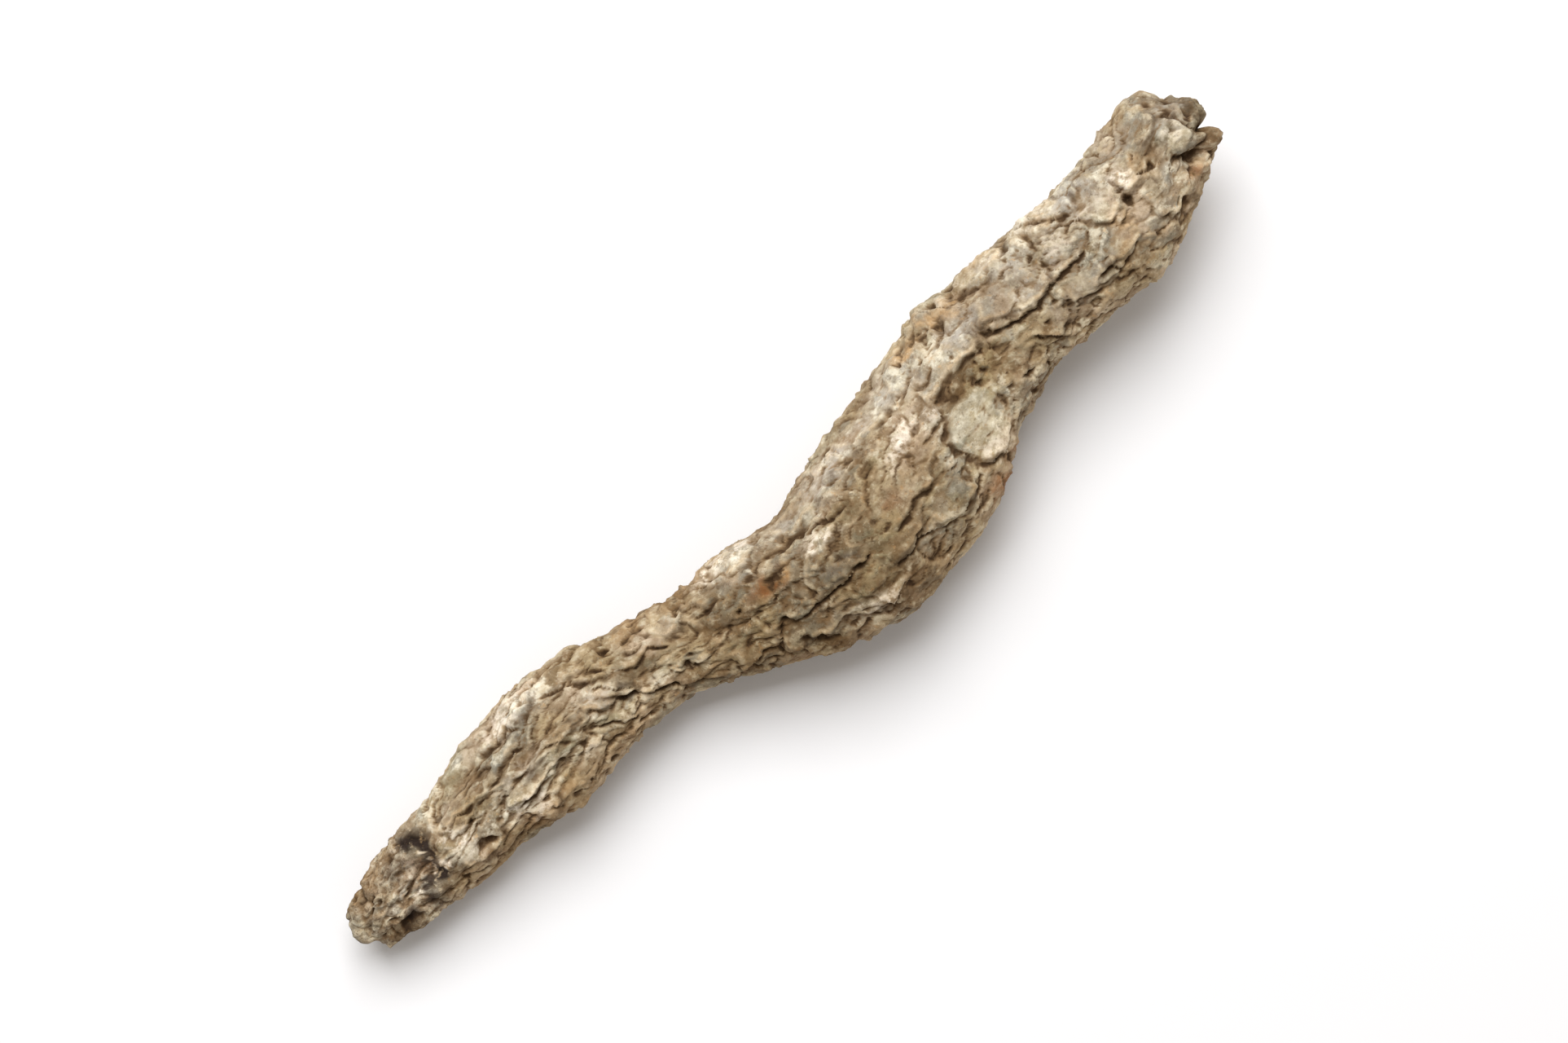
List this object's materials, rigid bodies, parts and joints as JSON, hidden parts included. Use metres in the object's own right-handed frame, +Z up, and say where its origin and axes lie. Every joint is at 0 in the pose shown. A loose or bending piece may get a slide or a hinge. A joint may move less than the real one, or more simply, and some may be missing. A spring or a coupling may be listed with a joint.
{
  "type": "curculigo root",
  "caption": "Dried crooked rhizome, rough and furrowed, swollen at the middle, lying on its side on small flat spots.",
  "frame": {"origin": "on the surface that the root lies on, under the middle of the root's box", "axes": "+X along the root from its broken tip to its crown, +Z up from the surface"},
  "size_m": [0.0678, 0.0134, 0.0097],
  "materials": {
    "dried_root": "matte, rough dried skin, grey-brown with yellow-tan ridges and dark crevices"
  },
  "bodies": {
    "root": {"curculigo_root": "dried_root"}
  },
  "joints": []
}
